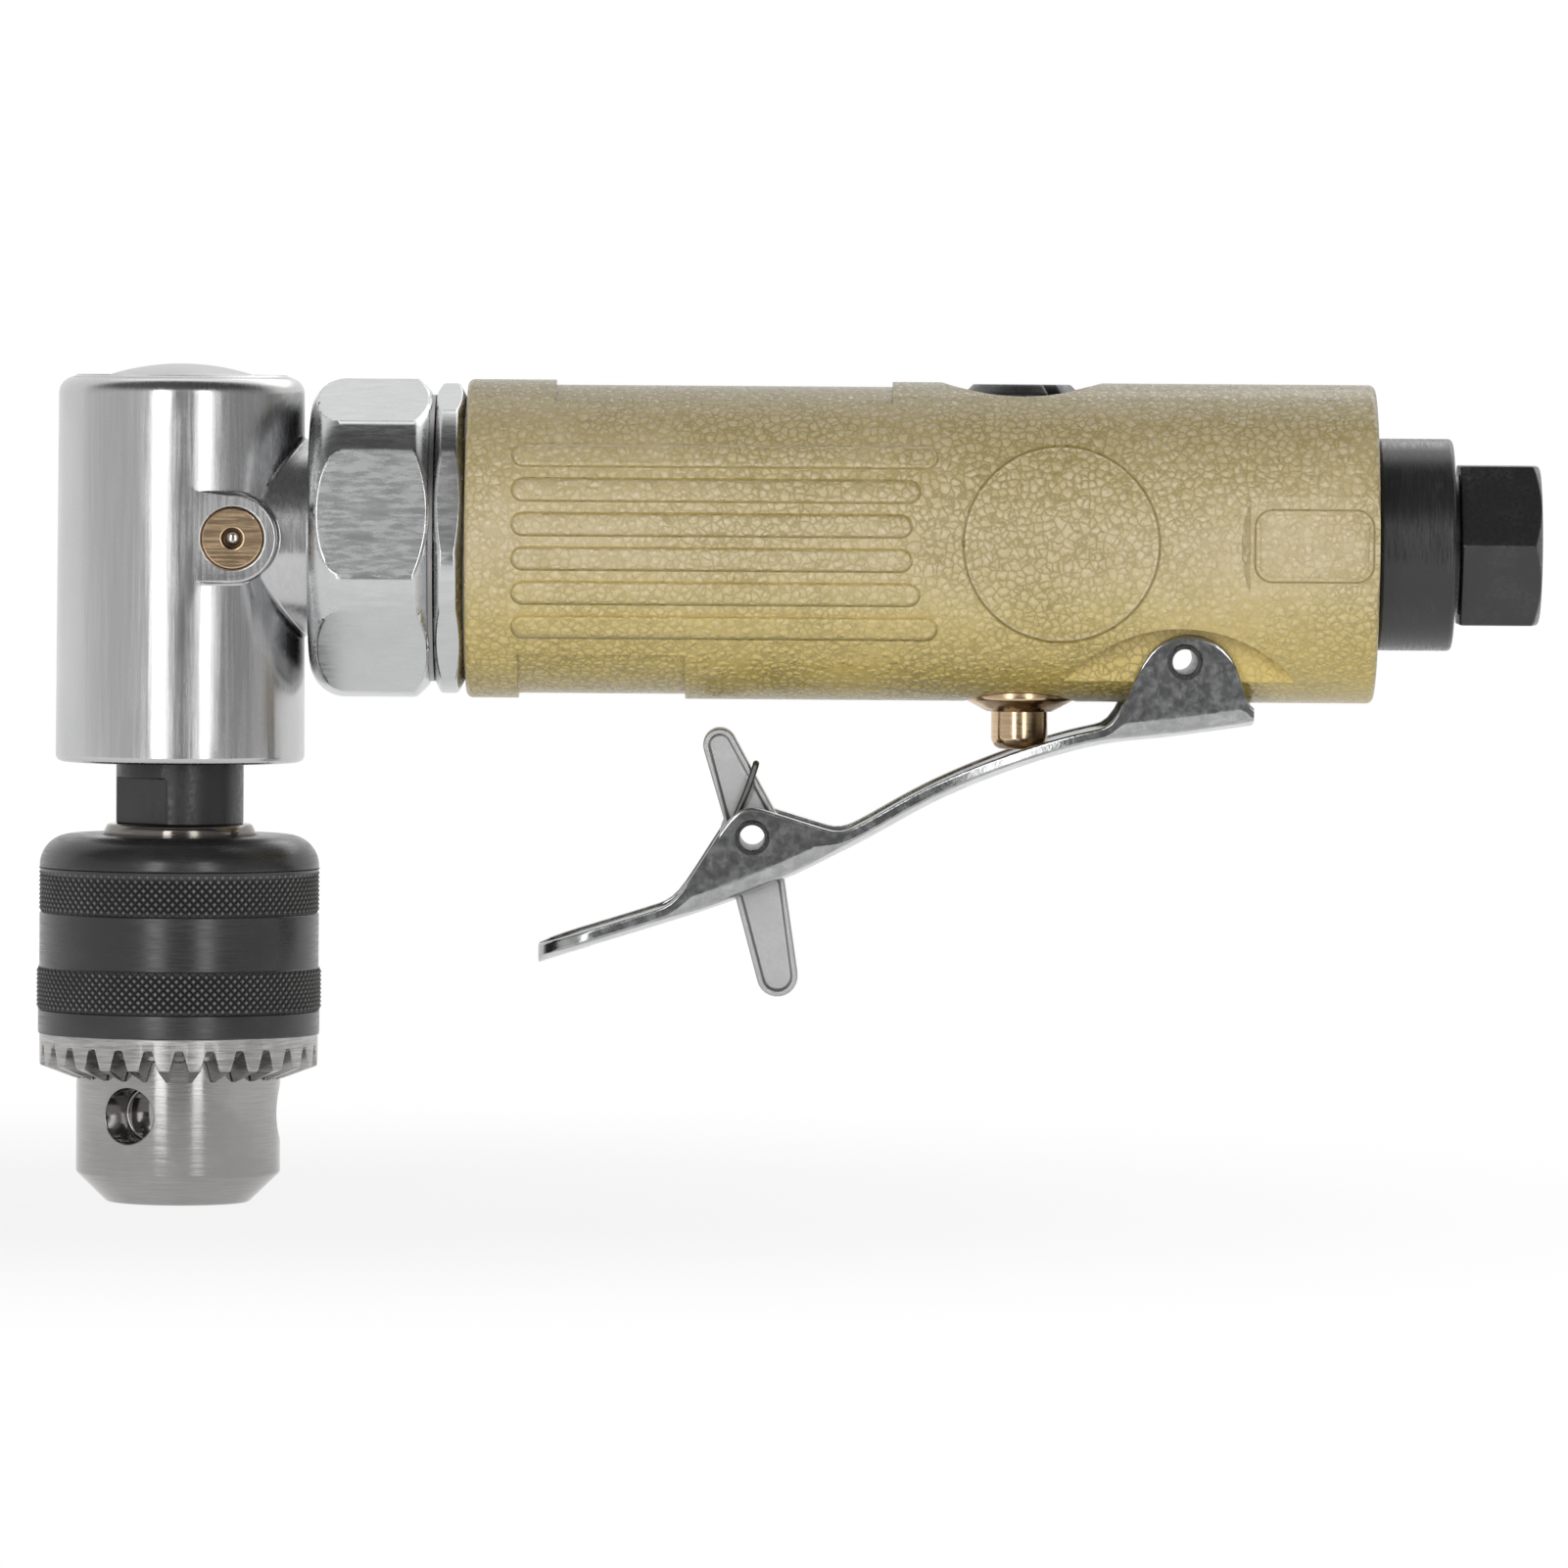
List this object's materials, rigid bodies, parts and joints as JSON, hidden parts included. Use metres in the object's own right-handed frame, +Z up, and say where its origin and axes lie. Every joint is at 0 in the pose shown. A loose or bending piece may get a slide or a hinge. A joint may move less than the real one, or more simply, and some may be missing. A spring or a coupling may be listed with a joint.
{
  "type": "right-angle air drill",
  "caption": "Right-angle air drill: painted handle with throttle lever and safety catch, geared angle head and keyed chuck with sliding jaws.",
  "frame": {"origin": "centre of the chuck's mouth, on its nose face", "axes": "+Z up the chuck's axis into the head, +X along the handle to the air inlet"},
  "size_m": [0.1788, 0.0388, 0.1001],
  "materials": {
    "hammered_paint": "hammered enamel",
    "head_alloy": "satin machined",
    "chrome_plate": "bright plate",
    "black_oxide": "black oxide",
    "bright_steel": "ground",
    "gear_steel": "hobbed",
    "brass": "turned",
    "die_cast": "matte die cast",
    "spring_steel": "drawn wire",
    "seal_rubber": "moulded",
    "vane_composite": "laminate",
    "felt": "felt"
  },
  "bodies": {
    "tool": {"handle_body": "hammered_paint", "head_housing": "head_alloy", "head_cap": "head_alloy", "bearing_retainer": "gear_steel", "spindle_bearing_outer": "bright_steel", "spindle_top_bush": "brass", "grease_fitting": "brass", "coupling_nut": "chrome_plate", "lock_ring": "chrome_plate", "gear_case": "gear_steel", "ring_gear": "gear_steel", "pinion_bearing_outer": "bright_steel", "carrier_bearing_outer": "bright_steel", "motor_cylinder": "gear_steel", "front_end_plate": "gear_steel", "rear_end_plate": "gear_steel", "front_rotor_bearing_outer": "bright_steel", "rear_rotor_bearing_outer": "bright_steel", "motor_dowel": "bright_steel", "valve_bushing": "brass", "throttle_spring": "spring_steel", "exhaust_sleeve": "black_oxide", "silencer": "felt", "inlet_bushing": "black_oxide", "inlet_screen": "bright_steel", "inlet_seal": "seal_rubber", "lever_pin": "bright_steel"},
    "spindle": {"spindle": "black_oxide", "bevel_gear": "gear_steel", "spindle_bearing_inner": "bright_steel", "chuck_body": "bright_steel"},
    "sleeve": {"chuck_sleeve": "black_oxide", "chuck_nut": "gear_steel"},
    "jaw_1": {"chuck_jaw_1": "gear_steel"},
    "jaw_2": {"chuck_jaw_2": "gear_steel"},
    "jaw_3": {"chuck_jaw_3": "gear_steel"},
    "carrier": {"bevel_pinion": "gear_steel", "pinion_bearing_inner": "bright_steel", "planet_carrier": "gear_steel", "carrier_bearing_inner": "bright_steel", "planet_pins": "bright_steel"},
    "planet_1": {"planet_gear_1": "gear_steel"},
    "planet_2": {"planet_gear_2": "gear_steel"},
    "planet_3": {"planet_gear_3": "gear_steel"},
    "rotor": {"rotor": "gear_steel", "rotor_vanes": "vane_composite", "sun_gear": "gear_steel", "front_rotor_bearing_inner": "bright_steel", "rear_rotor_bearing_inner": "bright_steel"},
    "button": {"throttle_button": "brass", "throttle_valve": "seal_rubber"},
    "regulator": {"regulator_screw": "black_oxide", "regulator_seal": "seal_rubber"},
    "lever": {"throttle_lever": "chrome_plate", "catch_pin": "bright_steel", "catch_spring": "spring_steel"},
    "catch": {"safety_catch": "die_cast"},
    "grease_check": {"grease_ball": "bright_steel"}
  },
  "joints": [
    {"name": "spindle_spin", "type": "hinge", "parent": "tool", "child": "spindle", "pos_m": [0, 0, 0.05], "axis": [0, 0, 1], "continuous": true},
    {"name": "carrier_spin", "type": "hinge", "parent": "tool", "child": "carrier", "pos_m": [0.02, 0, 0.0795], "axis": [1, 0, 0], "continuous": true},
    {"name": "rotor_spin", "type": "hinge", "parent": "tool", "child": "rotor", "pos_m": [0.06, 0, 0.0795], "axis": [1, 0, 0], "continuous": true},
    {"name": "sleeve_turn", "type": "hinge", "parent": "spindle", "child": "sleeve", "pos_m": [0, 0, 0.02], "axis": [0, 0, 1], "range_deg": [0, 4464]},
    {"name": "planet_1_spin", "type": "hinge", "parent": "carrier", "child": "planet_1", "pos_m": [0.034, 0, 0.0711], "axis": [1, 0, 0], "continuous": true},
    {"name": "planet_2_spin", "type": "hinge", "parent": "carrier", "child": "planet_2", "pos_m": [0.034, 0.00728, 0.0837], "axis": [1, 0, 0], "continuous": true},
    {"name": "planet_3_spin", "type": "hinge", "parent": "carrier", "child": "planet_3", "pos_m": [0.034, -0.00728, 0.0837], "axis": [1, 0, 0], "continuous": true},
    {"name": "jaw_1_feed", "type": "slide", "parent": "spindle", "child": "jaw_1", "axis": [-0.141, 0.2171, -0.9659], "range_m": [0, 0.01862]},
    {"name": "jaw_2_feed", "type": "slide", "parent": "spindle", "child": "jaw_2", "axis": [-0.1175, -0.2306, -0.9659], "range_m": [0, 0.01862]},
    {"name": "jaw_3_feed", "type": "slide", "parent": "spindle", "child": "jaw_3", "axis": [0.2585, 0.0135, -0.9659], "range_m": [0, 0.01862]},
    {"name": "lever_press", "type": "hinge", "parent": "tool", "child": "lever", "pos_m": [0.1196, 0, 0.0656], "axis": [0, 1, 0], "range_deg": [0, 6.6], "stiffness_Nm_per_rad": 0.4, "springref_deg": -17.19, "deforming": ["throttle_spring"]},
    {"name": "catch_fold", "type": "hinge", "parent": "lever", "child": "catch", "pos_m": [0.0684, 0, 0.0443], "axis": [0, 1, 0], "range_deg": [0, 79.2], "deforming": ["catch_spring"]},
    {"name": "button_slide", "type": "slide", "parent": "tool", "child": "button", "axis": [0, 0, 1], "range_m": [0, 0.0024]},
    {"name": "regulator_turn", "type": "hinge", "parent": "tool", "child": "regulator", "pos_m": [0.1002, 0, 0.095], "axis": [0, 0, 1], "range_deg": [0, 270]},
    {"name": "grease_ball_slide", "type": "slide", "parent": "tool", "child": "grease_check", "axis": [0, 1, 0], "range_m": [0, 0.0004], "stiffness_N_per_m": 150, "springref_m": -0.001}
  ],
  "couplings": [
    {"joint": "carrier_spin", "follows": "spindle_spin", "ratio": 1.6667},
    {"joint": "rotor_spin", "follows": "spindle_spin", "ratio": 6.6667},
    {"joint": "planet_1_spin", "follows": "spindle_spin", "ratio": -5},
    {"joint": "planet_2_spin", "follows": "spindle_spin", "ratio": -5},
    {"joint": "planet_3_spin", "follows": "spindle_spin", "ratio": -5},
    {"joint": "jaw_1_feed", "follows": "sleeve_turn", "m_per_rad": 0.00023873},
    {"joint": "jaw_2_feed", "follows": "sleeve_turn", "m_per_rad": 0.00023873},
    {"joint": "jaw_3_feed", "follows": "sleeve_turn", "m_per_rad": 0.00023873},
    {"joint": "catch_fold", "follows": "lever_press", "ratio": 12},
    {"joint": "button_slide", "follows": "lever_press", "m_per_rad": 0.02}
  ]
}
